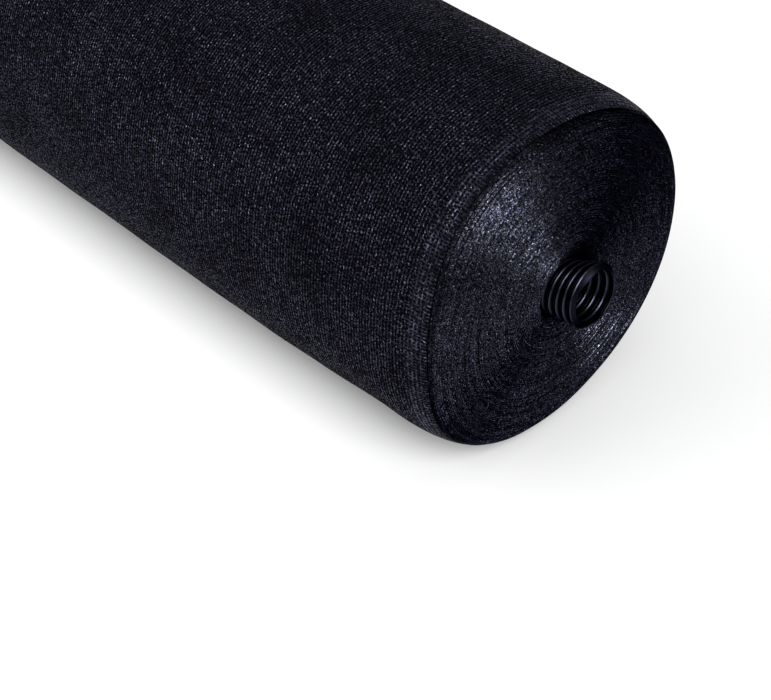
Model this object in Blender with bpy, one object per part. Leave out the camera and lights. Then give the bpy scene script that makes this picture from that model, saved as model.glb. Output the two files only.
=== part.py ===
"""A roll of knitted shade cloth, wound on a corrugated plastic core tube.

The roll lies along X. Its middle is over the origin and its flattened underside rests on z = 0.
Lengths are in metres and angles in radians. Angles round the roll start at +Y and turn towards +Z.
"""
import bpy
from math import cos, exp, pi, sin
from mathutils import Vector

# The wound cloth
CLOTH_WIDTH = 1.830            # selvedge to selvedge, which is also the roll's length
ROLL_RADIUS = 0.155            # at the middle of the roll
FLAT_DEPTH = 0.004             # how far its own weight flattens the underside
SLUMP_POWER = 2.1              # 2 is a true circle; above 2 the lower half bulges as the roll settles
TAPER_LENGTH = 0.300           # stretch at each end where the winding grows slacker
TAPER_SHARE = 0.057            # share of the radius that this stretch loses at the end plane
RIM_LENGTH = 0.077             # rounded rim, measured along the roll
RIM_DEPTH = 0.027              # the same rim, measured towards the axis
RIM_POWER = 3.0                # 2 is an ellipse, more is squarer
RECESS_DEPTH = 0.008           # the first turns sit back round the core
RECESS_WIDTH = 0.010
AXIS_HEIGHT = ROLL_RADIUS - FLAT_DEPTH

# The core tube
CREST_RADIUS = 0.0236          # outside, over the corrugations
GROOVE_DEPTH = 0.0026
TUBE_WALL = 0.0010
PITCH = 0.00570                # crest to crest
CORRUGATIONS = 7               # at each end; the hidden middle is plain
TUBE_STANDS_OUT = 0.0240       # beyond the cloth at the +X end, along the tube
FAR_STANDS_OUT = 0.0270        # and at the -X end, which leaves the roll's middle over the origin
BEND_LENGTH = 0.032            # the soft tube turns up over its last stretch at the +X end
BEND_ANGLE = 0.130
GAP = 0.0004                   # between the tube's crests and the first turn of cloth

# Facets
CLOTH_SIDES = 64
TUBE_SIDES = 20
BARREL_STEPS = 6               # from the middle of the roll to the start of the taper
TAPER_STEPS = 5
RIM_STEPS = 7
FACE_STEPS = 4
BORE_STEPS = 4

# One pitch of the tube's wall: (share of the pitch, share of the groove's depth)
CORRUGATION = (
    (0.00, 0.0),
    (0.36, 0.0),
    (0.52, 1.0),
    (0.84, 1.0),
)

# The cloth's edge runs unevenly at each end: (end, angle round the roll, half-width of the dip, depth)
EDGE_DIPS = (
    (+1, 2.30, 0.50, 0.003),
    (+1, 4.90, 0.60, 0.002),
    (-1, 5.60, 0.70, 0.003),
    (-1, 2.40, 0.60, 0.004),
)


def half_outline():
    """Points (distance in from the end plane, radius) from the bore's edge out to the middle of the roll."""
    bore = CREST_RADIUS + GAP
    taper_at_rim = (TAPER_LENGTH - RIM_LENGTH) / TAPER_LENGTH
    rim_radius = ROLL_RADIUS * (1 - TAPER_SHARE * taper_at_rim ** 2)
    face_radius = rim_radius - RIM_DEPTH
    recess_radius = bore + RECESS_WIDTH

    points = [(RECESS_DEPTH, bore), (RECESS_DEPTH * 0.3, bore + RECESS_WIDTH * 0.5)]
    for step in range(FACE_STEPS):
        points.append((0.0, recess_radius + (face_radius - recess_radius) * step / FACE_STEPS))
    for step in range(RIM_STEPS):
        turn = pi / 2 * step / RIM_STEPS
        points.append((
            RIM_LENGTH - RIM_LENGTH * cos(turn) ** (2 / RIM_POWER),
            face_radius + RIM_DEPTH * sin(turn) ** (2 / RIM_POWER),
        ))
    for step in range(TAPER_STEPS):
        share = taper_at_rim * (1 - step / TAPER_STEPS)
        points.append((TAPER_LENGTH * (1 - share), ROLL_RADIUS * (1 - TAPER_SHARE * share ** 2)))
    for step in range(BARREL_STEPS + 1):
        points.append((TAPER_LENGTH + (CLOTH_WIDTH / 2 - TAPER_LENGTH) * step / BARREL_STEPS, ROLL_RADIUS))
    return points


def slump(angle, radius):
    """How much wider than a circle the settled roll is at this angle: its lower half bulges, its core doesn't."""
    if sin(angle) >= 0:
        return 1.0
    bulged = (abs(cos(angle)) ** SLUMP_POWER + abs(sin(angle)) ** SLUMP_POWER) ** (-1 / SLUMP_POWER)
    return 1 + (bulged - 1) * radius / ROLL_RADIUS


def edge_setback(end, angle, radius):
    """How far the cloth's edge falls back at this angle: nothing at the core, all of it at the rim."""
    setback = 0.0
    for dip_end, dip_angle, half_width, depth in EDGE_DIPS:
        if dip_end == end:
            apart = (angle - dip_angle + pi) % (2 * pi) - pi
            setback += depth * exp(-((apart / half_width) ** 2))
    return setback * min(1.0, max(0.0, radius / ROLL_RADIUS)) ** 2


def cloth_ring(end, inset, radius):
    """One ring of the cloth's surface, flattened where it would go under the surface it rests on."""
    ring = []
    near_end = max(0.0, 1 - inset / TAPER_LENGTH)
    for side in range(CLOTH_SIDES):
        angle = 2 * pi * side / CLOTH_SIDES
        x = CLOTH_WIDTH / 2 - inset - edge_setback(end, angle, radius) * near_end
        settled = radius * slump(angle, radius)
        z = max(settled * sin(angle), -AXIS_HEIGHT)
        ring.append(Vector((end * x, settled * cos(angle), z)))
    return ring


def tube_ring(distance, radius):
    """One ring of the tube, at a distance along its middle line from the roll's middle."""
    bend_start = CLOTH_WIDTH / 2 + TUBE_STANDS_OUT - BEND_LENGTH
    bent = max(0.0, distance - bend_start)
    turn = BEND_ANGLE * bent / BEND_LENGTH
    bend_radius = BEND_LENGTH / BEND_ANGLE
    centre = Vector((min(distance, bend_start) + bend_radius * sin(turn), 0.0, bend_radius * (1 - cos(turn))))
    across = Vector((0.0, 1.0, 0.0))
    upward = Vector((-sin(turn), 0.0, cos(turn)))
    return [
        centre + radius * (cos(angle) * across + sin(angle) * upward)
        for angle in (2 * pi * side / TUBE_SIDES for side in range(TUBE_SIDES))
    ]


def tube_wall_points():
    """Points (distance from the roll's middle, depth below the crests) along the whole tube."""
    near_end = CLOTH_WIDTH / 2 + TUBE_STANDS_OUT
    far_end = CLOTH_WIDTH / 2 + FAR_STANDS_OUT
    ribs = [
        (PITCH * (rib + share), GROOVE_DEPTH * groove)
        for rib in range(CORRUGATIONS)
        for share, groove in CORRUGATION
    ]
    ribs.append((PITCH * CORRUGATIONS, 0.0))
    near = [(near_end - inset, depth) for inset, depth in ribs]
    far = [(inset - far_end, depth) for inset, depth in reversed(ribs)]
    return near + far


def closed_skin(name, rings):
    """A mesh whose rings follow each other round a closed loop, so its hole runs right through."""
    sides = len(rings[0])
    points = [point for ring in rings for point in ring]
    faces = []
    for row in range(len(rings)):
        following = (row + 1) % len(rings)
        for side in range(sides):
            beside = (side + 1) % sides
            faces.append((
                row * sides + side,
                following * sides + side,
                following * sides + beside,
                row * sides + beside,
            ))
    mesh = bpy.data.meshes.new(name)
    mesh.from_pydata(points, [], faces)
    mesh.validate()
    return mesh


def plain_material(name, colour, roughness):
    material = bpy.data.materials.new(name)
    material.use_nodes = True
    surface = material.node_tree.nodes["Principled BSDF"]
    surface.inputs["Base Color"].default_value = (*colour, 1.0)
    surface.inputs["Roughness"].default_value = roughness
    surface.inputs["Metallic"].default_value = 0.0
    return material


def add_piece(name, mesh, material, parent):
    mesh.materials.append(material)
    mesh.shade_smooth()
    mesh.set_sharp_from_angle(angle=pi / 5)
    piece = bpy.data.objects.new(name, mesh)
    bpy.context.scene.collection.objects.link(piece)
    piece.parent = parent
    return piece


def make_cloth_roll(axis):
    """The cloth as wound: both faces, rims and tapers, the barrel between them and the bore for the core."""
    outline = half_outline()
    rings = [cloth_ring(+1, inset, radius) for inset, radius in outline]
    rings += [cloth_ring(-1, inset, radius) for inset, radius in reversed(outline[:-1])]
    bore_half = CLOTH_WIDTH / 2 - RECESS_DEPTH
    for step in range(1, BORE_STEPS):
        x = -bore_half + 2 * bore_half * step / BORE_STEPS
        rings.append([
            Vector((x, (CREST_RADIUS + GAP) * cos(angle), (CREST_RADIUS + GAP) * sin(angle)))
            for angle in (2 * pi * side / CLOTH_SIDES for side in range(CLOTH_SIDES))
        ])
    cloth = plain_material("black_knitted_cloth", (0.010, 0.011, 0.018), 0.45)
    return add_piece("cloth_roll", closed_skin("cloth_roll", rings), cloth, axis)


def make_core_tube(axis):
    """The corrugated tube that the cloth is wound on, open at both ends."""
    wall = tube_wall_points()
    rings = [tube_ring(distance, CREST_RADIUS - depth) for distance, depth in wall]
    rings += [tube_ring(distance, CREST_RADIUS - depth - TUBE_WALL) for distance, depth in reversed(wall)]
    plastic = plain_material("black_tube_plastic", (0.008, 0.008, 0.010), 0.30)
    return add_piece("core_tube", closed_skin("core_tube", rings), plastic, axis)


for leftover in list(bpy.data.objects):
    bpy.data.objects.remove(leftover)

roll_axis = bpy.data.objects.new("roll_axis", None)
roll_axis.location.z = AXIS_HEIGHT
bpy.context.scene.collection.objects.link(roll_axis)

make_cloth_roll(roll_axis)
make_core_tube(roll_axis)
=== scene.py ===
from math import atan2, cos, exp, pi, radians, sin

import bmesh
import bpy
import numpy as np
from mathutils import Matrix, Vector


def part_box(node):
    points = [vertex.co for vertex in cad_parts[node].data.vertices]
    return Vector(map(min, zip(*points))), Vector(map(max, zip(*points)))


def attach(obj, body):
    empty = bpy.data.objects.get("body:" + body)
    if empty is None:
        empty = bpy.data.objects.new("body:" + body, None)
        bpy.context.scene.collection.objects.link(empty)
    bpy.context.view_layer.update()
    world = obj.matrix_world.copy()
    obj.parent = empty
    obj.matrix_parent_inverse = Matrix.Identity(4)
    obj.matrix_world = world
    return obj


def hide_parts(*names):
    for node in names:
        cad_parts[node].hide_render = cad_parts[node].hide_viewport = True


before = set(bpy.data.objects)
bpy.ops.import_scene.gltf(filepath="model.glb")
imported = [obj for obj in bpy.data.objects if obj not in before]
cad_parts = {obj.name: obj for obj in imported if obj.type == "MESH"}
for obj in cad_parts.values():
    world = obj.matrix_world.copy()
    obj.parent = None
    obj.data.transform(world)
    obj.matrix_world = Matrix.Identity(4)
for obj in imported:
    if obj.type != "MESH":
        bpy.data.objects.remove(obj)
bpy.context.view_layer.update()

camera_data = bpy.data.cameras.new("camera")
camera_data.sensor_width = 36.0
camera_data.lens = 68.24
camera = bpy.data.objects.new("camera", camera_data)
camera.location = (1.4424, -0.7054, 0.8489)
camera.rotation_euler = (radians(90 - 41.14), 0, radians(45.81))
bpy.context.scene.collection.objects.link(camera)
bpy.context.scene.camera = camera

FLOOR_HALF_WIDTH = 120.0


def new_material(name):
    """A material with only its surface shader and its output."""
    material = bpy.data.materials.new(name)
    material.use_nodes = True
    return material, material.node_tree, material.node_tree.nodes["Principled BSDF"]


def new_piece(name, mesh, material):
    """An object of this mesh and material, at the origin."""
    mesh.materials.append(material)
    piece = bpy.data.objects.new(name, mesh)
    bpy.context.scene.collection.objects.link(piece)
    return piece


floor_paint, floor_tree, floor_surface = new_material("pale_floor")
floor_surface.inputs["Base Color"].default_value = (0.58, 0.58, 0.58, 1)
floor_surface.inputs["Roughness"].default_value = 0.9
floor_surface.inputs["Specular IOR Level"].default_value = 0.0
floor_mesh = bpy.data.meshes.new("floor")
floor_mesh.from_pydata(
    [(x * FLOOR_HALF_WIDTH, y * FLOOR_HALF_WIDTH, 0) for x, y in ((-1, -1), (1, -1), (1, 1), (-1, 1))],
    [], [(0, 1, 2, 3)],
)
floor = new_piece("floor", floor_mesh, floor_paint)


def add_soft_light(name, direction, spread, strength, colour):
    """A very large lamp far away in this direction; spread is how wide it looks, in degrees."""
    lamp = bpy.data.lights.new(name, "SUN")
    lamp.angle = radians(spread)
    lamp.energy = strength
    lamp.color = colour
    holder = bpy.data.objects.new(name, lamp)
    holder.rotation_euler = Vector(direction).to_track_quat("Z", "Y").to_euler()
    bpy.context.scene.collection.objects.link(holder)


add_soft_light("key_light", (0.62, -0.31, 0.70), 34, 4.5, (1.0, 1.0, 1.0))
add_soft_light("overhead_light", (-0.05, -0.50, 0.86), 84, 2.0, (1.0, 1.0, 1.0))
add_soft_light("left_light", (-0.55, -0.68, 0.48), 50, 1.15, (1.0, 1.0, 1.0))
add_soft_light("back_light", (-0.30, 0.75, 0.58), 60, 0.12, (1.0, 1.0, 1.0))

studio = bpy.data.worlds.new("studio")
studio.use_nodes = True
studio.node_tree.nodes["Background"].inputs["Color"].default_value = (0.95, 0.97, 1.0, 1)
studio.node_tree.nodes["Background"].inputs["Strength"].default_value = 0.21
bpy.context.scene.world = studio
bpy.context.scene.view_settings.view_transform = "Standard"


# Core tube: black polyethylene tube, blown into rings so that it bends, and cut off by hand.
# The cloth is wound straight on it. It stands out at both ends, and its last stretch at the near end
# has taken a slight upward turn.
cloth_low, cloth_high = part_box("cloth_roll")
END_PLANE = cloth_high.x
ROLL_RADIUS = cloth_high.y
AXIS_HEIGHT = cloth_high.z - ROLL_RADIUS
CREST_RADIUS = 0.0236
GROOVE_DEPTH = 0.0036
TUBE_WALL = 0.0011
RIB_PITCH = 0.0065
RIBS = 15
POINTS_PER_RIB = 10
MOUTH_LENGTH = 0.0032          # beyond the last rib's crest, where the wall was cut in its groove
MOUTH_SPREAD = 0.14            # the loose end has spread by this share, and leans this far to one side
MOUTH_LEAN = Vector((0.0, 0.0050, 0.0010))
LIP_CURL = 0.0042              # a tongue of the cut lip curls inwards at this angle round the tube
LIP_ANGLE = radians(108)
TONGUE_HALF_WIDTH = 0.45       # in radians
GROOVE_POWER = 0.8             # below 1 makes the grooves wide and the crests narrow
CREST_HALF_WIDTH = 0.10        # the painted highlight along a crest, as a share of the pitch
TUBE_SIDES = 84
NEAR_STANDS_OUT = 0.0240
FAR_STANDS_OUT = 0.0270
BEND_LENGTH = 0.032
BEND_ANGLE = 0.130


def groove_at(share):
    """How deep in its groove the wall is, from 0 to 1, at this share of the pitch past a crest."""
    return (0.5 - 0.5 * cos(2 * pi * share)) ** GROOVE_POWER


def tube_outline():
    """Half of the wall's closed outline: (distance in from the mouth, radius), outside and inside."""
    lip_outside = ((0.0, 0.0034), (0.0003, 0.0030), (0.0011, 0.0020), (0.0020, 0.0007))
    lip_inside = ((0.0002, 0.0040), (0.0008, 0.0040), (0.0016, 0.0031), (0.0023, 0.0019))
    outside = [(distance, CREST_RADIUS - depth) for distance, depth in lip_outside]
    inside = [(distance, CREST_RADIUS - depth) for distance, depth in lip_inside]
    for step in range(RIBS * POINTS_PER_RIB + 1):
        share = step / POINTS_PER_RIB
        groove = groove_at(share)
        distance = MOUTH_LENGTH + RIB_PITCH * share
        outside.append((distance, CREST_RADIUS - GROOVE_DEPTH * groove))
        inside.append((distance, CREST_RADIUS - TUBE_WALL - GROOVE_DEPTH * groove))
    return outside, inside


outside, inside = tube_outline()
tube_profile = [(END_PLANE + NEAR_STANDS_OUT - d, r) for d, r in outside]
tube_profile += [(d - END_PLANE - FAR_STANDS_OUT, r) for d, r in reversed(outside)]
tube_profile += [(d - END_PLANE - FAR_STANDS_OUT, r) for d, r in inside]
tube_profile += [(END_PLANE + NEAR_STANDS_OUT - d, r) for d, r in reversed(inside)]


def calc(tree, operation, *values):
    """A maths node on these values or sockets; returns its output."""
    node = tree.nodes.new("ShaderNodeMath")
    node.operation = operation
    for socket, value in zip(node.inputs, values):
        if isinstance(value, bpy.types.NodeSocket):
            tree.links.new(value, socket)
        else:
            socket.default_value = value
    return node.outputs[0]


def node_with(tree, kind, **values):
    """A node of this kind with these inputs, named with underscores for spaces."""
    node = tree.nodes.new(kind)
    for name, value in values.items():
        socket = node.inputs[name.replace("_", " ")]
        if isinstance(value, bpy.types.NodeSocket):
            tree.links.new(value, socket)
        else:
            socket.default_value = value
    return node


def lathe_tree():
    """Turns a closed outline, drawn as (distance, radius, 0), round the X axis."""
    tree = bpy.data.node_groups.new("lathe", "GeometryNodeTree")
    tree.interface.new_socket("Outline", in_out="INPUT", socket_type="NodeSocketGeometry")
    tree.interface.new_socket("Points", in_out="INPUT", socket_type="NodeSocketInt")
    tree.interface.new_socket("Sides", in_out="INPUT", socket_type="NodeSocketInt")
    tree.interface.new_socket("Finish", in_out="INPUT", socket_type="NodeSocketMaterial")
    tree.interface.new_socket("Turned", in_out="OUTPUT", socket_type="NodeSocketGeometry")
    given = tree.nodes.new("NodeGroupInput").outputs
    columns = calc(tree, "ADD", given["Sides"], 1)
    rows = calc(tree, "ADD", given["Points"], 1)
    grid = node_with(
        tree, "GeometryNodeMeshGrid", Size_X=1.0, Size_Y=1.0, Vertices_X=columns, Vertices_Y=rows,
    )
    position = tree.nodes.new("GeometryNodeInputPosition").outputs[0]
    place = node_with(tree, "ShaderNodeSeparateXYZ", Vector=position)
    angle = calc(tree, "MULTIPLY", calc(tree, "ADD", place.outputs["X"], 0.5), 2 * pi)
    down_grid = calc(tree, "ADD", place.outputs["Y"], 0.5)
    row = calc(tree, "ROUND", calc(tree, "MULTIPLY", down_grid, given["Points"]))
    point = calc(tree, "MODULO", row, given["Points"])
    sample = tree.nodes.new("GeometryNodeSampleIndex")
    sample.data_type = "FLOAT_VECTOR"
    tree.links.new(given["Outline"], sample.inputs["Geometry"])
    tree.links.new(position, sample.inputs["Value"])
    tree.links.new(point, sample.inputs["Index"])
    drawn = node_with(tree, "ShaderNodeSeparateXYZ", Vector=sample.outputs[0])
    turned = node_with(
        tree, "ShaderNodeCombineXYZ", X=drawn.outputs["X"],
        Y=calc(tree, "MULTIPLY", drawn.outputs["Y"], calc(tree, "COSINE", angle)),
        Z=calc(tree, "MULTIPLY", drawn.outputs["Y"], calc(tree, "SINE", angle)),
    )
    moved = node_with(
        tree, "GeometryNodeSetPosition", Geometry=grid.outputs["Mesh"], Position=turned.outputs[0],
    )
    merged = node_with(tree, "GeometryNodeMergeByDistance", Geometry=moved.outputs[0], Distance=1e-6)
    smooth = node_with(tree, "GeometryNodeSetShadeSmooth", Geometry=merged.outputs[0])
    realized = node_with(tree, "GeometryNodeRealizeInstances", Geometry=smooth.outputs[0])
    finished = node_with(
        tree, "GeometryNodeSetMaterial", Geometry=realized.outputs[0], Material=given["Finish"],
    )
    leaving = tree.nodes.new("NodeGroupOutput")
    tree.links.new(finished.outputs[0], leaving.inputs["Turned"])
    return tree


def made_by(tree, source, inputs):
    """The plain mesh that a geometry tree makes from an object's mesh, with its inputs set by name."""
    modifier = source.modifiers.new(tree.name, "NODES")
    modifier.node_group = tree
    for item in tree.interface.items_tree:
        if item.in_out == "INPUT" and item.name in inputs:
            modifier[item.identifier] = inputs[item.name]
    view = bpy.context.evaluated_depsgraph_get()
    view.update()
    mesh = bpy.data.meshes.new_from_object(source.evaluated_get(view))
    source.modifiers.remove(modifier)
    bpy.data.objects.remove(source)
    return mesh


def colour_between(tree, share, dark, bright, clamped=True):
    """A colour this share of the way from dark to bright. Unclamped, the share may go past bright."""
    mix = node_with(tree, "ShaderNodeMix", Factor=share)
    mix.data_type = "RGBA"
    mix.clamp_factor = clamped
    first_colour, second_colour, mixed = mix.inputs[6], mix.inputs[7], mix.outputs[2]
    first_colour.default_value = (*dark, 1)
    second_colour.default_value = (*bright, 1)
    return mixed


tube_plastic, tube_tree, tube_surface = new_material("black_tube_plastic")
tube_surface.inputs["Metallic"].default_value = 1.0
tube_surface.inputs["Specular Tint"].default_value = (0.25, 0.25, 0.32, 1)
# Painted highlight: the tube is coloured brighter along its crests, outside and in, and on parts of its cut
# lip
painted_highlight = tube_tree.nodes.new("ShaderNodeAttribute")
painted_highlight.attribute_name = "painted_highlight"
tube_colour = colour_between(
    tube_tree, painted_highlight.outputs["Fac"], dark=(0.0018, 0.0018, 0.0030), bright=(0.0620, 0.0640, 0.0980),
)
tube_tree.links.new(tube_colour, tube_surface.inputs["Base Color"])
tube_place = tube_tree.nodes.new("ShaderNodeTexCoord").outputs["Object"]
scuffs = node_with(tube_tree, "ShaderNodeTexNoise", Vector=tube_place, Scale=260.0, Detail=3.0)
haze = node_with(
    tube_tree, "ShaderNodeMapRange", Value=scuffs.outputs[0],
    From_Min=0.35, From_Max=0.75, To_Min=0.22, To_Max=0.38,
)
tube_tree.links.new(haze.outputs[0], tube_surface.inputs["Roughness"])
tube_bump = node_with(
    tube_tree, "ShaderNodeBump", Height=scuffs.outputs[0], Strength=0.35, Distance=0.0004,
)
tube_tree.links.new(tube_bump.outputs[0], tube_surface.inputs["Normal"])

outline_mesh = bpy.data.meshes.new("tube_outline")
outline_mesh.from_pydata([(x, r, 0) for x, r in tube_profile], [], [])
outline_object = bpy.data.objects.new("tube_outline", outline_mesh)
bpy.context.scene.collection.objects.link(outline_object)
tube_mesh = made_by(lathe_tree(), outline_object, {
    "Points": len(tube_profile), "Sides": TUBE_SIDES, "Finish": tube_plastic,
})
tube_mesh.name = "core_tube_ribbed"
bend_start = END_PLANE + NEAR_STANDS_OUT - BEND_LENGTH
bend_radius = BEND_LENGTH / BEND_ANGLE
tube_highlight_share = tube_mesh.attributes.new("painted_highlight", "FLOAT", "POINT")
for vertex, highlight_value in zip(tube_mesh.vertices, tube_highlight_share.data):
    x, y, z = vertex.co
    from_mouth = END_PLANE + NEAR_STANDS_OUT - MOUTH_LENGTH - x
    in_rib = from_mouth / RIB_PITCH % 1
    wall_middle = CREST_RADIUS - GROOVE_DEPTH * groove_at(in_rib) - TUBE_WALL / 2
    is_outside = (y * y + z * z) ** 0.5 > wall_middle
    from_crest = min(in_rib, 1 - in_rib) if is_outside else abs(in_rib - 0.5)
    mouthward = max(0.0, (x - (END_PLANE + NEAR_STANDS_OUT - MOUTH_LENGTH)) / MOUTH_LENGTH)
    from_tongue = (atan2(z, y) - LIP_ANGLE + pi) % (2 * pi) - pi
    # Painted highlight: the cut lip is dull, but its tongue and the side of it that lies towards +Y carry a
    # painted highlight
    on_tongue = 0.50 * exp(-((from_tongue / 0.35) ** 2))
    on_y_side = 0.35 * exp(-(((atan2(z, y) + 0.2) / 0.8) ** 2))
    on_lip = 0.07 + on_tongue + on_y_side
    # Painted highlight: a thin bright line along each crest
    on_crest = exp(-((from_crest / CREST_HALF_WIDTH) ** 2))
    highlight_value.value = on_crest if from_mouth > -0.0008 else on_lip
    curl = 1 - LIP_CURL / CREST_RADIUS * mouthward ** 2 * exp(-((from_tongue / TONGUE_HALF_WIDTH) ** 2))
    spread = min(1.0, max(0.0, (x - END_PLANE + 0.004) / (NEAR_STANDS_OUT + 0.001)))
    y = y * curl * (1 + MOUTH_SPREAD * spread) + MOUTH_LEAN.y * spread
    z = z * curl * (1 + MOUTH_SPREAD * spread) + MOUTH_LEAN.z * spread
    turn = BEND_ANGLE * max(0.0, x - bend_start) / BEND_LENGTH
    vertex.co = (
        min(x, bend_start) + bend_radius * sin(turn) - z * sin(turn),
        y,
        AXIS_HEIGHT + bend_radius * (1 - cos(turn)) + z * cos(turn),
    )
tube_check = bmesh.new()
tube_check.from_mesh(tube_mesh)
bmesh.ops.recalc_face_normals(tube_check, faces=tube_check.faces)
tube_check.to_mesh(tube_mesh)
tube_check.free()
tube_piece = bpy.data.objects.new("core_tube_ribbed", tube_mesh)
bpy.context.scene.collection.objects.link(tube_piece)
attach(tube_piece, "root")
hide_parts("core_tube")


# Wound turns: the same length of knitted black tape cloth, wound about eighty times round the tube.
# Each turn's selvedge shows on the ends as a fine rounded ridge that strays a little in and out.
# The winding grows slacker towards its ends, so the rims are rounded and the outer turns stand back.
CLOTH_THICKNESS = 0.0008
TURNS = 80
TURN_SIDES = 144
PROFILE = 4                    # points across one turn's ridge
OUTERMOST_RADIUS = 0.147       # the outermost turn's mean radius at its selvedge
TAPER_LENGTH = 0.300
TAPER_SHARE = 0.057
RIM_LENGTH = 0.077
RIM_DEPTH = 0.027
BORE_RADIUS = CREST_RADIUS + 0.0004
RECESS_DEPTH = 0.007
RECESS_WIDTH = 0.010
SLUMP_POWER = 2.1
LOOSE_END_ANGLE = radians(322)
RIM_RADIUS = ROLL_RADIUS * (1 - TAPER_SHARE * (1 - RIM_LENGTH / TAPER_LENGTH) ** 2)
FACE_RADIUS = RIM_RADIUS - RIM_DEPTH

# How far the outermost selvedge stands back from the end plane: (degrees round the roll, millimetres)
NEAR_SELVEDGE = (
    (0, 11), (67, 11), (100, 15), (131, 19), (150, 16), (164, 11), (188, 8), (215, 12), (270, 13),
)
FAR_SELVEDGE = ((10, 14), (60, 21), (115, 18), (160, 13), (210, 17), (255, 24), (310, 20))
# Painted sheen and painted shade: the turns' edges are coloured brighter in one sector and darker in another:
# (degrees round the roll, half-width, change in shine)
PAINTED_SHEEN_SECTORS = ((225, 35, 0.6), (15, 35, -0.5))
# Where the edges of all the turns fall back: (radians round the roll, half-width, depth)
NEAR_DIPS = ((2.30, 0.50, 0.003), (4.90, 0.60, 0.002))
FAR_DIPS = ((5.60, 0.70, 0.003), (2.40, 0.60, 0.004))

# How unevenly the turns lie: how far apart they are, each one's own place, and the winding's slow drift
SPACING_STRAY = 0.00022
EDGE_WANDERS = ((0.00045, 31), (0.00035, 9))   # (distance, samples between changes)
TURN_STRAY = 0.00035
SLOW_DRIFT = 0.0008
DRIFT_TURNS = 3.5
# One turn's ridge: (share of its width, how far back from its edge)
RIDGE = ((0.10, 0.00085), (0.46, 0.0), (0.84, 0.00080))
RIDGE_GROOVE = 0.0016
UNDER_OUTER_TURN = 0.004       # the winding starts this far inside the outer turn's selvedge
FIRST_RIDGE_PROUD = 0.001      # but its first ridge stands out past that selvedge


def selvedge_inset(table, angle):
    """The outermost selvedge's distance from the end plane at these angles."""
    degrees, insets = np.array(table, float).T
    spread = np.arange(-24.0, 25.0, 6.0)
    weights = np.cos(np.radians(spread * 3)) + 1
    near_by = (np.degrees(angle)[:, None] + spread) % 360
    return np.interp(near_by, degrees, insets, period=360) @ weights / weights.sum() / 1000


def edge_setback(dips, angle, radius):
    """How far the edges fall back at this angle: nothing at the core, all of it at the rim."""
    setback = 0
    for dip_angle, half_width, depth in dips:
        apart = (angle - dip_angle + pi) % (2 * pi) - pi
        setback = setback + depth * np.exp(-((apart / half_width) ** 2))
    return setback * np.clip(radius / ROLL_RADIUS, 0, 1) ** 2


def outline_radius(inset):
    """The wound roll's outside radius at a distance in from the end plane."""
    on_rim = FACE_RADIUS + RIM_DEPTH * np.cbrt(1 - np.clip(1 - inset / RIM_LENGTH, 0, 1) ** 3)
    on_taper = ROLL_RADIUS * (1 - TAPER_SHARE * np.clip(1 - inset / TAPER_LENGTH, 0, 1) ** 2)
    return np.where(inset < RIM_LENGTH, on_rim, on_taper)


def end_inset(radius):
    """The end's own shape: how far in from the end plane it lies at this radius."""
    over = np.clip((radius - FACE_RADIUS) / RIM_DEPTH, 0, 1)
    near_core = np.clip(1 - (radius - BORE_RADIUS) / RECESS_WIDTH, 0, 1)
    return RIM_LENGTH * (1 - np.cbrt(1 - over ** 3)) + RECESS_DEPTH * near_core ** 1.7


def on_roll(end, inset, radius, angle, buried=0.0):
    """Points of the settled roll; buried keeps a lower layer above the flat underside."""
    powers = np.abs(np.cos(angle)) ** SLUMP_POWER + np.abs(np.sin(angle)) ** SLUMP_POWER
    bulged = powers ** (-1 / SLUMP_POWER)
    settled = radius * np.where(np.sin(angle) < 0, 1 + (bulged - 1) * radius / ROLL_RADIUS, 1.0)
    z = np.maximum(AXIS_HEIGHT + settled * np.sin(angle), buried)
    return np.stack(np.broadcast_arrays(end * (END_PLANE - inset), settled * np.cos(angle), z), -1)


def smooth_noise(count, spacing, random):
    """Count values that wander between -1 and 1, with a new value every so many steps."""
    knots = random.uniform(-1, 1, int(count / spacing) + 3)
    place = np.arange(count) / spacing
    step = place.astype(int)
    share = place - step
    share = share * share * (3 - 2 * share)
    return knots[step] * (1 - share) + knots[step + 1] * share


SAMPLES = TURNS * TURN_SIDES
sample = np.arange(SAMPLES + TURN_SIDES + 1)
turn_angle = LOOSE_END_ANGLE - 2 * pi * sample / TURN_SIDES


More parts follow.
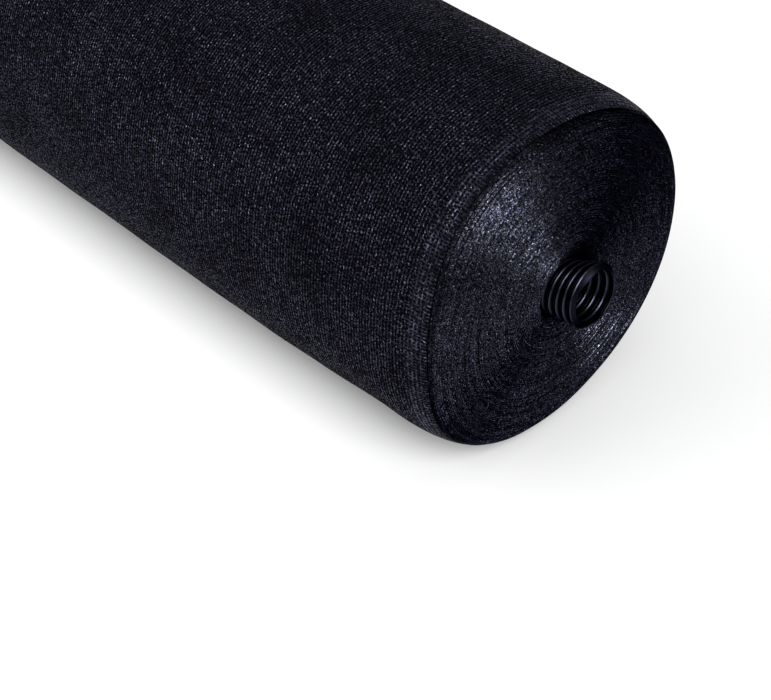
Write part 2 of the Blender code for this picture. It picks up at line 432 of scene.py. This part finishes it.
def end_of_roll(end, table, dips, seed):
    """Points (sample, place in the turn's profile) of one end, from the outermost turn to the bore."""
    random = np.random.default_rng(seed)
    outer_edge = selvedge_inset(table, turn_angle) + edge_setback(dips, turn_angle, ROLL_RADIUS)
    under_last_turn = CLOTH_THICKNESS * np.minimum(sample / TURN_SIDES, 1)
    start_radius = outline_radius(outer_edge) - CLOTH_THICKNESS - under_last_turn
    inward = np.clip((sample - TURN_SIDES) / (SAMPLES - TURN_SIDES), 0, 1)
    radius = start_radius + (BORE_RADIUS - start_radius) * inward
    radius = radius + SPACING_STRAY * smooth_noise(len(sample), 23, random) * (inward > 0) * (inward < 1)
    wander = sum(size * smooth_noise(len(sample), spacing, random) for size, spacing in EDGE_WANDERS)
    wander += TURN_STRAY * np.repeat(random.uniform(-1, 1, TURNS + 2), TURN_SIDES)[: len(sample)]
    slow = smooth_noise(TURNS + 2, DRIFT_TURNS, random)
    wander += SLOW_DRIFT * np.interp(sample / TURN_SIDES, np.arange(TURNS + 2), slow)
    middle = radius[:-TURN_SIDES] * 0.5 + radius[TURN_SIDES:] * 0.5
    count = len(middle)
    angle = turn_angle[:count]
    edge = end_inset(middle) + edge_setback(dips, angle, middle) + wander[:count]
    edge[:TURN_SIDES] = np.minimum(edge[:TURN_SIDES], outer_edge[:TURN_SIDES] - FIRST_RIDGE_PROUD)
    outer_neighbour = np.concatenate([outer_edge[:TURN_SIDES] + UNDER_OUTER_TURN, edge[:-TURN_SIDES]])
    groove = np.maximum(outer_neighbour, edge) + RIDGE_GROOVE
    groove[:TURN_SIDES] = outer_neighbour[:TURN_SIDES]
    width = radius[:count] - radius[TURN_SIDES:]
    thin = np.clip((SAMPLES - sample[:count]) / TURN_SIDES, 0, 1)
    rows = [on_roll(end, groove, radius[:count], angle)]
    for share, back in RIDGE:
        rows.append(on_roll(end, edge + back * thin, radius[:count] - width * share, angle))
    strip = np.stack(rows, 1)
    strip[-1, 1:] = strip[-1, 0]
    bore = on_roll(end, np.full(TURN_SIDES, groove[-1]), radius[count:], turn_angle[count:])
    bore[-1] = strip[-1, 0]
    return strip, bore


turn_lengths = np.linspace(OUTERMOST_RADIUS, BORE_RADIUS, len(sample) - 1) * 2 * pi / TURN_SIDES
length_along = np.concatenate([[0], np.cumsum(turn_lengths)])
BARREL_INSETS = (0.036, 0.050, 0.077, 0.130, 0.200, 0.300, 0.600)


def wound_turns_mesh():
    """Both ends' spiral strips, the barrel between them and the bore, as one closed mesh."""
    ends = {
        +1: end_of_roll(+1, NEAR_SELVEDGE, NEAR_DIPS, 11),
        -1: end_of_roll(-1, FAR_SELVEDGE, FAR_DIPS, 29),
    }
    points, faces, uvs = [], [], []
    first = {}
    for end, (strip, bore) in ends.items():
        first[end] = len(points)
        points.extend(map(tuple, strip.reshape(-1, 3)))
        points.extend(map(tuple, bore))

    def number(end, at, place):
        """The point's number in the mesh. A turn's last place is the next turn's first."""
        if place == PROFILE:
            at, place = at + TURN_SIDES, 0
        if at <= SAMPLES:
            return first[end] + at * PROFILE + place
        return first[end] + (SAMPLES + 1) * PROFILE + at - SAMPLES - 1

    for end in ends:
        for at in range(SAMPLES):
            for place in range(PROFILE):
                faces.append((
                    number(end, at, place), number(end, at + 1, place),
                    number(end, at + 1, place + 1), number(end, at, place + 1),
                ))
                near, far = at // TURN_SIDES + place / PROFILE, at // TURN_SIDES + (place + 1) / PROFILE
                uvs.extend((
                    (near, length_along[at]), (near, length_along[at + 1]),
                    (far, length_along[at + 1]), (far, length_along[at]),
                ))
        faces.append(tuple(number(end, 0, place) for place in range(PROFILE + 1)))
        uvs.extend([(0, 0)] * (PROFILE + 1))
    around = sample[: TURN_SIDES + 1]
    sunk = CLOTH_THICKNESS * (1 + around / TURN_SIDES)
    rows = [[number(+1, at, 0) for at in around]]
    for end, insets in ((+1, BARREL_INSETS), (-1, reversed(BARREL_INSETS))):
        for inset in insets:
            radius = outline_radius(np.array(inset)) - sunk
            rows.append(range(len(points), len(points) + len(around)))
            points.extend(map(tuple, on_roll(end, inset, radius, turn_angle[: TURN_SIDES + 1], sunk)))
    rows.append([number(-1, at, 0) for at in around])
    for row, following in zip(rows, rows[1:]):
        for at in range(TURN_SIDES + 1):
            beside = (at + 1) % (TURN_SIDES + 1)
            faces.append((row[at], row[beside], following[beside], following[at]))
            uvs.extend([(0, 0)] * 4)
    bore_rows = [[number(end, SAMPLES + at, 0) for at in range(TURN_SIDES)] for end in (+1, -1)]
    for at in range(TURN_SIDES):
        beside = (at + 1) % TURN_SIDES
        faces.append((bore_rows[0][at], bore_rows[0][beside], bore_rows[1][beside], bore_rows[1][at]))
        uvs.extend([(0, 0)] * 4)
    mesh = bpy.data.meshes.new("wound_turns")
    mesh.from_pydata(points, [], faces)
    layer = mesh.uv_layers.new(name="cloth")
    layer.data.foreach_set("uv", np.array(uvs, float).ravel())
    solid = bmesh.new()
    solid.from_mesh(mesh)
    bmesh.ops.remove_doubles(solid, verts=solid.verts, dist=1e-7)
    bmesh.ops.dissolve_degenerate(solid, edges=solid.edges, dist=1e-8)
    bmesh.ops.recalc_face_normals(solid, faces=solid.faces)
    solid.to_mesh(mesh)
    solid.free()
    mesh.shade_smooth()
    place = np.array([vertex.co for vertex in mesh.vertices])
    angle = np.degrees(np.arctan2(place[:, 2] - AXIS_HEIGHT, place[:, 1])) % 360
    from_bore = np.hypot(place[:, 2] - AXIS_HEIGHT, place[:, 1]) - BORE_RADIUS
    # Painted shade: the turns' edges are coloured darker close round the core, in its recess, and the painted
    # shade reaches furthest above it
    painted_shade_width = 0.006 + 0.016 * np.exp(-(((angle - 72) / 32) ** 2))
    out_of_painted_shade = 0.08 + 0.92 * np.clip(from_bore / painted_shade_width, 0, 1) ** 2
    # Painted sheen and painted shade by angle, times the painted shade round the core
    painted_sheen_and_shade = 1 + sum(
        change * np.exp(-((((angle - degrees + 180) % 360 - 180) / half_width) ** 2))
        for degrees, half_width, change in PAINTED_SHEEN_SECTORS
    )
    painted_sheen_and_shade = painted_sheen_and_shade * out_of_painted_shade
    mesh.attributes.new("painted_sheen_and_shade", "FLOAT", "POINT").data.foreach_set("value", painted_sheen_and_shade)
    return mesh


def glint_group():
    """Random small facets of shiny tape: a shade and a height for each facet."""
    tree = bpy.data.node_groups.new("tape_facets", "ShaderNodeTree")
    tree.interface.new_socket("Place", in_out="INPUT", socket_type="NodeSocketVector")
    tree.interface.new_socket("Facets per metre", in_out="INPUT", socket_type="NodeSocketFloat")
    for name in ("Shade", "Height"):
        tree.interface.new_socket(name, in_out="OUTPUT", socket_type="NodeSocketFloat")
    given = tree.nodes.new("NodeGroupInput").outputs
    cells = node_with(tree, "ShaderNodeTexVoronoi", Vector=given["Place"], Scale=given["Facets per metre"])
    cells.voronoi_dimensions = "3D"
    colour = node_with(tree, "ShaderNodeSeparateColor", Color=cells.outputs["Color"])
    grain = node_with(
        tree, "ShaderNodeTexNoise", Vector=given["Place"],
        Scale=calc(tree, "MULTIPLY", given["Facets per metre"], 0.8), Detail=2.0,
    )
    domed = calc(tree, "MULTIPLY", cells.outputs["Distance"], colour.outputs["Red"])
    height = calc(tree, "ADD", grain.outputs[0], domed)
    leaving = tree.nodes.new("NodeGroupOutput")
    tree.links.new(colour.outputs["Green"], leaving.inputs["Shade"])
    tree.links.new(height, leaving.inputs["Height"])
    return tree


facets = glint_group()


def facets_in(tree, place, per_metre):
    """The facets at this place in a material's tree."""
    node = tree.nodes.new("ShaderNodeGroup")
    node.node_tree = facets
    tree.links.new(place, node.inputs["Place"])
    node.inputs["Facets per metre"].default_value = per_metre
    return node


edge_cloth, edge_tree, edge_surface = new_material("black_cloth_edges")
edge_surface.inputs["Metallic"].default_value = 1.0
edge_surface.inputs["Specular Tint"].default_value = (0.26, 0.26, 0.29, 1)
edge_map = node_with(edge_tree, "ShaderNodeUVMap")
edge_map.uv_map = "cloth"
edge_uv = node_with(edge_tree, "ShaderNodeSeparateXYZ", Vector=edge_map.outputs[0])
edge_place = edge_tree.nodes.new("ShaderNodeTexCoord").outputs["Object"]
edge_facets = facets_in(edge_tree, edge_place, per_metre=1550.0)
LOOP_SPACING = 0.0042          # the edge's own loops, along each turn
loop = calc(edge_tree, "SINE", calc(edge_tree, "MULTIPLY", edge_uv.outputs["Y"], 2 * pi / LOOP_SPACING))
edge_height = calc(
    edge_tree, "ADD", calc(edge_tree, "MULTIPLY", loop, 0.25), edge_facets.outputs["Height"],
)
edge_bump = node_with(edge_tree, "ShaderNodeBump", Height=edge_height, Strength=0.3, Distance=0.0004)
edge_tree.links.new(edge_bump.outputs[0], edge_surface.inputs["Normal"])
# Painted shade: the edges' colour darkens from each ridge's crown towards the grooves between the turns
across_turn = calc(edge_tree, "MULTIPLY", calc(edge_tree, "FRACT", edge_uv.outputs["X"]), 2.0)
from_ridge = calc(edge_tree, "ABSOLUTE", calc(edge_tree, "SUBTRACT", across_turn, 1.0))
on_ridge = node_with(
    edge_tree, "ShaderNodeMapRange", Value=from_ridge, From_Min=0.9, From_Max=0.45, To_Min=0.22,
)
arcs = edge_tree.nodes.new("ShaderNodeTexNoise")
arcs.noise_dimensions = "1D"
edge_tree.links.new(edge_uv.outputs["Y"], arcs.inputs["W"])
arcs.inputs["Scale"].default_value = 7.0
arcs.inputs["Detail"].default_value = 3.0
arc_shade = node_with(
    edge_tree, "ShaderNodeMapRange", Value=arcs.outputs[0],
    From_Min=0.32, From_Max=0.68, To_Min=0.5, To_Max=1.4,
)
along_ridge = calc(edge_tree, "MULTIPLY", on_ridge.outputs[0], arc_shade.outputs[0])
edge_glint = calc(edge_tree, "POWER", edge_facets.outputs["Shade"], 3.2)
edge_glint = calc(edge_tree, "MULTIPLY", edge_glint, along_ridge)
sparks = facets_in(edge_tree, edge_place, per_metre=1200.0)
spark = calc(edge_tree, "MULTIPLY", calc(edge_tree, "POWER", sparks.outputs["Shade"], 34.0), 2.6)
edge_glint = calc(edge_tree, "ADD", edge_glint, spark)
# Painted sheen and painted shade, from the wound turns, scale the edges' colour
edge_painted_sheen = edge_tree.nodes.new("ShaderNodeAttribute")
edge_painted_sheen.attribute_name = "painted_sheen_and_shade"
edge_glint = calc(edge_tree, "MULTIPLY", edge_glint, edge_painted_sheen.outputs["Fac"])
# Painted shade: the outermost turns' edges, just inside the outer turn's selvedge, are coloured darker
outermost = node_with(
    edge_tree, "ShaderNodeMapRange", Value=edge_uv.outputs["X"], From_Min=0.5, From_Max=3.0, To_Min=0.45,
)
edge_glint = calc(edge_tree, "MULTIPLY", edge_glint, outermost.outputs[0])
edge_colour = colour_between(
    edge_tree, edge_glint, dark=(0.0010, 0.0010, 0.0014), bright=(0.0640, 0.0660, 0.0960), clamped=False,
)
edge_tree.links.new(edge_colour, edge_surface.inputs["Base Color"])
edge_gloss = node_with(
    edge_tree, "ShaderNodeMapRange", Value=edge_facets.outputs["Shade"], To_Min=0.36, To_Max=0.20,
)
edge_tree.links.new(edge_gloss.outputs[0], edge_surface.inputs["Roughness"])

turns_piece = new_piece("wound_turns", wound_turns_mesh(), edge_cloth)
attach(turns_piece, "root")
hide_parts("cloth_roll")


# Outer turn: the cloth's last turn, 1.83 m wide, pulled snug over the others.
# Chains of tape run round the roll every three millimetres, and tapes cross from chain to chain.
# Both selvedges have denser lines of tape, then a ladder of single rungs along the very edge.
TURN_STEPS = 300
OVERLAP_STEPS = 9
CLOTH_FLAT_WIDTH = 1.83
# The cloth isn't perfectly round: (size in metres, waves round the roll, phase)
SWELLS = ((0.00018, 5, 0.4), (0.00012, 9, 2.1), (0.00010, 14, 4.0))
RIPPLE_SIZE = 0.00035
LAYER_GAP = 0.0002             # the sheet is thinner than its turn by this much, so its layers don't meet

# The knit
CHAIN_SPACING = 0.0030
STITCH_REPEAT = 0.0063
STRAY_SCALE = 190.0            # how finely the tapes stray
STRAY_ACROSS = 1.05            # and how far, in chain spacings and in repeats
STRAY_ALONG = 1.15
CLIMB = 24.0                   # repeats that the stitches climb in a metre of width
CHAIN_STAGGER = 0.25           # and from one chain to the next
CHAIN_HALF_WIDTH = 0.26        # as a share of the chain spacing
# The two tapes of a repeat: (slant, place in the repeat, half-width, height)
CROSSING_TAPES = ((0.17, 0.25, 0.115, 0.50), (-0.22, 0.75, 0.095, 0.40))
BEAD_FLOOR = 0.08              # the height of a chain between two of its stitches
RUNG_SPACING = 0.0030
RUNG_STRAY = 0.8
RUNG_NARROWNESS = 2.6          # a rung's full width is twice its spacing divided by this
LADDER_WIDTH = 0.0042          # from the selvedge inwards, and the height of its rungs and of what is between
LADDER_HEIGHT = 0.78
LADDER_FLOOR = 0.24
DENSE_WIDTH = 0.0170           # also from the selvedge, and the height of its lines and its rungs
DENSE_LINE_SPACING = 0.0034
DENSE_LINE_HEIGHT = 0.36
DENSE_RUNG_HEIGHT = 0.72


def outer_rows(table, dips, angle):
    """Insets from the selvedge to the roll's middle at each angle, closer together near the rim."""
    edge = selvedge_inset(table, angle) + edge_setback(dips, angle, ROLL_RADIUS)
    shares = np.concatenate([
        np.linspace(0, 0.055, 26)[:-1], np.linspace(0.055, 0.30, 15)[:-1], np.linspace(0.30, 1, 16),
    ])
    return edge[None, :] + (END_PLANE - edge[None, :]) * shares[:, None], edge


def outer_turn_mesh():
    """The last turn from selvedge to selvedge, lapping over its own start."""
    steps = np.arange(TURN_STEPS + OVERLAP_STEPS + 1)
    travel = 2 * pi * steps / TURN_STEPS
    angle = LOOSE_END_ANGLE + travel
    near, near_edge = outer_rows(NEAR_SELVEDGE, NEAR_DIPS, angle)
    far, far_edge = outer_rows(FAR_SELVEDGE, FAR_DIPS, angle)
    lift = CLOTH_THICKNESS * (travel / (2 * pi) - 1)
    swell = sum(
        size * np.sin(waves * angle[None, :] + phase)
        for size, waves, phase in SWELLS
    )
    blocks = []
    for end, insets in ((+1, near), (-1, far[::-1][1:])):
        one_way = np.sin(insets * 61 + 3 * angle[None, :])
        other_way = np.sin(insets * 23 - 2 * angle[None, :] + end)
        ripple = RIPPLE_SIZE * one_way * other_way
        radius = outline_radius(insets) + lift[None, :] + (swell + ripple) * np.clip(insets / 0.05, 0, 1)
        blocks.append(on_roll(end, insets, radius, angle[None, :], np.maximum(0, -lift[None, :])))
    surface = np.concatenate(blocks, 0)
    rows, columns = surface.shape[:2]
    across = np.concatenate([near - near_edge, CLOTH_FLAT_WIDTH - (far - far_edge)[::-1][1:]], 0)
    from_edge = np.concatenate([near - near_edge, (far - far_edge)[::-1][1:]], 0)
    along = np.broadcast_to(travel * ROLL_RADIUS, across.shape)
    mesh = bpy.data.meshes.new("outer_turn")
    faces = [
        (row * columns + column, (row + 1) * columns + column,
         (row + 1) * columns + column + 1, row * columns + column + 1)
        for row in range(rows - 1) for column in range(columns - 1)
    ]
    mesh.from_pydata(list(map(tuple, surface.reshape(-1, 3))), [], faces)
    layer = mesh.uv_layers.new(name="cloth")
    corner = np.array([v for face in faces for v in face])
    layer.data.foreach_set("uv", np.stack([across.ravel()[corner], along.ravel()[corner]], -1).ravel())
    gap = mesh.attributes.new("from_selvedge", "FLOAT", "POINT")
    gap.data.foreach_set("value", from_edge.ravel())
    mesh.shade_smooth()
    return mesh


def knit_group():
    """The knit: chains along V every Chain spacing across U, crossed by two unlike tapes a repeat.

    Near a selvedge, denser lines take its place, and then a ladder.
    """
    tree = bpy.data.node_groups.new("tape_knit", "ShaderNodeTree")
    tree.interface.new_socket("Cloth place", in_out="INPUT", socket_type="NodeSocketVector")
    tree.interface.new_socket("Chain spacing", in_out="INPUT", socket_type="NodeSocketFloat")
    tree.interface.new_socket("Repeat", in_out="INPUT", socket_type="NodeSocketFloat")
    tree.interface.new_socket("From selvedge", in_out="INPUT", socket_type="NodeSocketFloat")
    for name in ("Height", "Tape", "Stitch shade"):
        tree.interface.new_socket(name, in_out="OUTPUT", socket_type="NodeSocketFloat")
    given = tree.nodes.new("NodeGroupInput").outputs

    def math(operation, *values):
        return calc(tree, operation, *values)

    stray = node_with(
        tree, "ShaderNodeTexNoise", Vector=given["Cloth place"], Scale=STRAY_SCALE, Detail=2.0,
    )
    stray_parts = node_with(tree, "ShaderNodeSeparateColor", Color=stray.outputs["Color"])
    stray_across = math("MULTIPLY", math("SUBTRACT", stray_parts.outputs["Red"], 0.5), STRAY_ACROSS)
    stray_along = math("MULTIPLY", math("SUBTRACT", stray_parts.outputs["Green"], 0.5), STRAY_ALONG)
    place = node_with(tree, "ShaderNodeSeparateXYZ", Vector=given["Cloth place"])
    u = math("DIVIDE", place.outputs["X"], given["Chain spacing"])
    v = math("DIVIDE", place.outputs["Y"], given["Repeat"])
    v = math("ADD", v, math("MULTIPLY", place.outputs["X"], CLIMB))
    u = math("ADD", u, stray_across)
    v = math("ADD", v, stray_along)

    def bulge(apart):
        """A rounded ridge: 1 where apart is 0, and 0 from where it is 1."""
        return math("MAXIMUM", math("SUBTRACT", 1.0, apart), 0.0)

    chain_number = math("FLOOR", math("ADD", u, 0.5))
    from_chain = math("ABSOLUTE", math("SUBTRACT", u, chain_number))
    stitch = math("MULTIPLY", math("ADD", v, math("MULTIPLY", chain_number, CHAIN_STAGGER)), 2.0)
    bead = math("SINE", math("MULTIPLY", math("FRACT", stitch), pi))
    chain = bulge(math("POWER", math("DIVIDE", from_chain, CHAIN_HALF_WIDTH), 2.0))
    beaded = math("MULTIPLY", math("POWER", bead, 0.9), 1 - BEAD_FLOOR)
    chain = math("MULTIPLY", chain, math("ADD", BEAD_FLOOR, beaded))
    across = math("SUBTRACT", math("FRACT", u), 0.5)
    tapes = []
    for slant, place_in_repeat, half_width, size in CROSSING_TAPES:
        share = math("FRACT", math("ADD", v, math("MULTIPLY", across, slant)))
        apart = math("DIVIDE", math("ABSOLUTE", math("SUBTRACT", share, place_in_repeat)), half_width)
        tapes.append(math("MULTIPLY", bulge(math("MULTIPLY", apart, apart)), size))
    body = math("MAXIMUM", chain, math("MAXIMUM", *tapes))

    rung_stray = math("MULTIPLY", stray_parts.outputs["Green"], RUNG_STRAY)
    rung_share = math("FRACT", math("ADD", math("DIVIDE", place.outputs["Y"], RUNG_SPACING), rung_stray))
    from_rung = math("ABSOLUTE", math("SUBTRACT", rung_share, 0.5))
    rung = bulge(math("MULTIPLY", RUNG_NARROWNESS, from_rung))
    ladder = math("MAXIMUM", math("MULTIPLY", rung, LADDER_HEIGHT), LADDER_FLOOR)
    line = math("SINE", math("MULTIPLY", given["From selvedge"], 2 * pi / DENSE_LINE_SPACING))
    line = math("ADD", math("MULTIPLY", line, DENSE_LINE_HEIGHT), DENSE_LINE_HEIGHT)
    dense = math("MAXIMUM", line, math("MULTIPLY", rung, DENSE_RUNG_HEIGHT))
    near_edge = math("LESS_THAN", given["From selvedge"], LADDER_WIDTH)
    in_dense = math("LESS_THAN", given["From selvedge"], DENSE_WIDTH)

    def either(choice, yes, no):
        """The value yes where choice is 1, and no where it is 0."""
        mix = tree.nodes.new("ShaderNodeMix")
        mix.data_type = "FLOAT"
        for socket, value in ((mix.inputs[0], choice), (mix.inputs[2], no), (mix.inputs[3], yes)):
            tree.links.new(value, socket)
        return mix.outputs[0]

    height = either(near_edge, ladder, either(in_dense, dense, body))
    pieces = node_with(
        tree, "ShaderNodeCombineXYZ", X=chain_number, Y=math("FLOOR", stitch),
    )
    chance = tree.nodes.new("ShaderNodeTexWhiteNoise")
    chance.noise_dimensions = "2D"
    tree.links.new(pieces.outputs[0], chance.inputs["Vector"])
    tape = node_with(tree, "ShaderNodeMapRange", Value=height, From_Min=0.05, From_Max=0.75)
    leaving = tree.nodes.new("NodeGroupOutput")
    uneven = math("ADD", 0.5, chance.outputs["Value"])
    tree.links.new(math("MULTIPLY", height, uneven), leaving.inputs["Height"])
    tree.links.new(tape.outputs[0], leaving.inputs["Tape"])
    tree.links.new(chance.outputs["Value"], leaving.inputs["Stitch shade"])
    return tree


cloth_finish, cloth_tree, cloth_surface = new_material("black_knitted_cloth")
cloth_surface.inputs["Specular IOR Level"].default_value = 0.0
cloth_surface.inputs["Specular Tint"].default_value = (0.80, 0.80, 0.90, 1)
cloth_map = node_with(cloth_tree, "ShaderNodeUVMap")
cloth_map.uv_map = "cloth"
cloth_place = cloth_map.outputs[0]
selvedge_gap = cloth_tree.nodes.new("ShaderNodeAttribute")
selvedge_gap.attribute_name = "from_selvedge"
knit = cloth_tree.nodes.new("ShaderNodeGroup")
knit.node_tree = knit_group()
cloth_tree.links.new(cloth_place, knit.inputs["Cloth place"])
knit.inputs["Chain spacing"].default_value = CHAIN_SPACING
knit.inputs["Repeat"].default_value = STITCH_REPEAT
cloth_tree.links.new(selvedge_gap.outputs["Fac"], knit.inputs["From selvedge"])
cloth_facets = facets_in(cloth_tree, cloth_place, per_metre=850.0)
facet_relief = calc(cloth_tree, "MULTIPLY", cloth_facets.outputs["Height"], 0.30)
cloth_height = calc(cloth_tree, "ADD", knit.outputs["Height"], facet_relief)
cloth_bump = node_with(cloth_tree, "ShaderNodeBump", Height=cloth_height, Strength=0.9, Distance=0.0009)
cloth_tree.links.new(cloth_bump.outputs[0], cloth_surface.inputs["Normal"])
stitch_shade = calc(cloth_tree, "MULTIPLY", knit.outputs["Stitch shade"], 0.8)
stitch_shade = calc(cloth_tree, "ADD", stitch_shade, 0.35)
glint = calc(cloth_tree, "POWER", cloth_facets.outputs["Shade"], 3.0)
glint = calc(cloth_tree, "MULTIPLY", glint, stitch_shade)
glint = calc(cloth_tree, "ADD", glint, 0.03)
patches = node_with(cloth_tree, "ShaderNodeTexNoise", Vector=cloth_place, Scale=14.0, Detail=3.0)
worn = node_with(
    cloth_tree, "ShaderNodeMapRange", Value=patches.outputs[0],
    From_Min=0.3, From_Max=0.7, To_Min=0.6, To_Max=1.35,
)
glint = calc(cloth_tree, "MULTIPLY", glint, worn.outputs[0])
# The knit's gaps between tapes are coloured nearly black: partly the black cloth of the turn beneath, partly
# painted shade in the gaps
shine = calc(cloth_tree, "MULTIPLY", glint, calc(cloth_tree, "POWER", knit.outputs["Tape"], 1.7))
cloth_colour = colour_between(
    cloth_tree, shine, dark=(0.0009, 0.0009, 0.0013), bright=(0.1080, 0.1100, 0.1650),
)
cloth_tree.links.new(cloth_colour, cloth_surface.inputs["Base Color"])
cloth_metal = node_with(
    cloth_tree, "ShaderNodeMapRange", Value=shine, From_Max=0.30, To_Min=0.02, To_Max=1.0,
)
cloth_tree.links.new(cloth_metal.outputs[0], cloth_surface.inputs["Metallic"])
cloth_gloss = node_with(
    cloth_tree, "ShaderNodeMapRange", Value=knit.outputs["Tape"], To_Min=0.60, To_Max=0.33,
)
cloth_tree.links.new(cloth_gloss.outputs[0], cloth_surface.inputs["Roughness"])

outer_piece = new_piece("outer_turn", outer_turn_mesh(), cloth_finish)
thickness = outer_piece.modifiers.new("cloth thickness", "SOLIDIFY")
thickness.thickness = CLOTH_THICKNESS - LAYER_GAP
thickness.offset = -1.0
thickness.use_even_offset = False
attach(outer_piece, "root")
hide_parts("cloth_roll")
